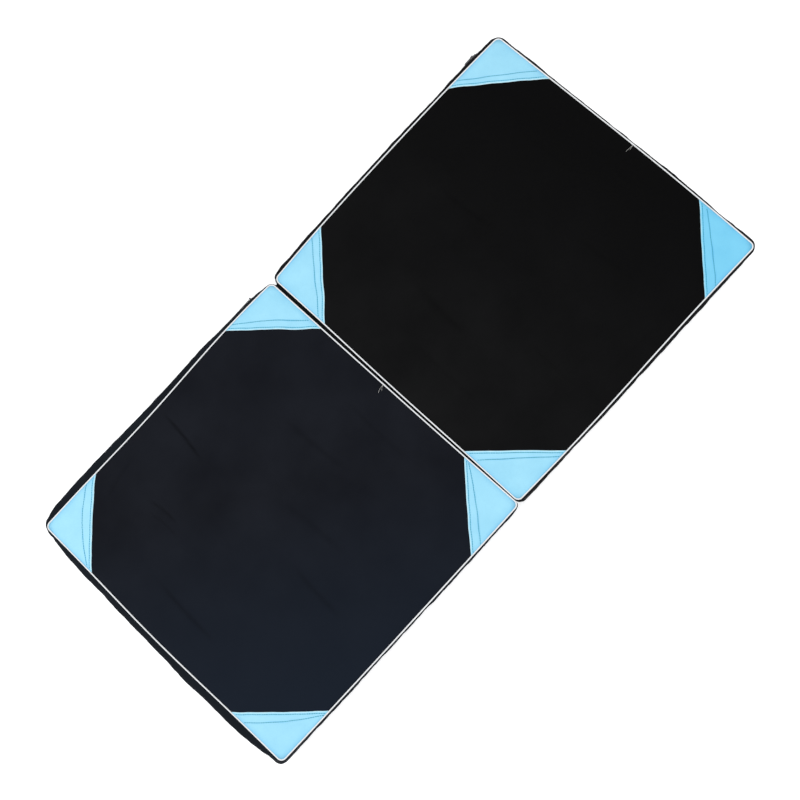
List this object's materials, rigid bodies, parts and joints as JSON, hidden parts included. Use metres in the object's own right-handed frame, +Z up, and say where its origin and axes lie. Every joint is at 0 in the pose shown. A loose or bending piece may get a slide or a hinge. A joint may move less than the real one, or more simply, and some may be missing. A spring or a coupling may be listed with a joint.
{
  "type": "folding gym mat",
  "caption": "Folding exercise mat: two square foam panels in zipped fabric covers, piped edges, corner patches, joined by a fabric hinge.",
  "frame": {"origin": "on the floor, under the middle of the open mat, zip sliders included", "axes": "+X along the open mat towards panel A, +Y across the mat towards the side with the zips, +Z up"},
  "size_m": [1.0079, 0.509, 0.04],
  "materials": {
    "top_fabric_a": "matte",
    "top_fabric_b": "matte",
    "wall_fabric": "matte",
    "bottom_fabric": "matte",
    "patch_leatherette": "satin",
    "piping_tape": "satin",
    "piping_filler": "matte",
    "foam": "matte",
    "hinge_fabric": "matte",
    "zip_tape": "matte",
    "zip_coil": "satin",
    "zip_metal": "satin"
  },
  "bodies": {
    "panel_b": {"foam_core_b": "foam", "bottom_cover_b": "bottom_fabric", "side_wall_b": "wall_fabric", "top_cover_b": "top_fabric_b", "piping_b": "piping_tape", "piping_cord_b": "piping_filler", "patch_b_outer_zip_side": "patch_leatherette", "patch_b_outer_plain_side": "patch_leatherette", "patch_b_fold_zip_side": "patch_leatherette", "patch_b_fold_plain_side": "patch_leatherette", "zip_tape_upper_b": "zip_tape", "zip_tape_lower_b": "zip_tape", "zip_coil_upper_b": "zip_coil", "zip_coil_lower_b": "zip_coil", "zip_stops_b": "zip_metal", "hinge_strip": "hinge_fabric"},
    "panel_a": {"foam_core_a": "foam", "bottom_cover_a": "bottom_fabric", "side_wall_a": "wall_fabric", "top_cover_a": "top_fabric_a", "piping_a": "piping_tape", "piping_cord_a": "piping_filler", "patch_a_outer_zip_side": "patch_leatherette", "patch_a_outer_plain_side": "patch_leatherette", "patch_a_fold_zip_side": "patch_leatherette", "patch_a_fold_plain_side": "patch_leatherette", "zip_tape_upper_a": "zip_tape", "zip_tape_lower_a": "zip_tape", "zip_coil_upper_a": "zip_coil", "zip_coil_lower_a": "zip_coil", "zip_stops_a": "zip_metal"},
    "slider_a": {"zip_slider_a": "zip_metal"},
    "pull_a": {"zip_pull_a": "zip_metal"},
    "slider_b": {"zip_slider_b": "zip_metal"},
    "pull_b": {"zip_pull_b": "zip_metal"}
  },
  "joints": [
    {"name": "mat_fold", "type": "hinge", "parent": "panel_b", "child": "panel_a", "pos_m": [0.0025, 0, 0.0403], "axis": [0, -1, 0], "range_deg": [0, 179.5], "deforming": ["hinge_strip"]},
    {"name": "zip_a_run", "type": "slide", "parent": "panel_a", "child": "slider_a", "axis": [-1, 0, 0], "range_m": [0, 0.407]},
    {"name": "zip_a_pull_turn", "type": "hinge", "parent": "slider_a", "child": "pull_a", "pos_m": [0.4549, 0.24788, 0.01855], "axis": [0, 0, -1], "range_deg": [0, 180]},
    {"name": "zip_b_run", "type": "slide", "parent": "panel_b", "child": "slider_b", "axis": [1, 0, 0], "range_m": [0, 0.407]},
    {"name": "zip_b_pull_turn", "type": "hinge", "parent": "slider_b", "child": "pull_b", "pos_m": [-0.4543, 0.25288, 0.01855], "axis": [0, 0, 1], "range_deg": [0, 180]}
  ]
}
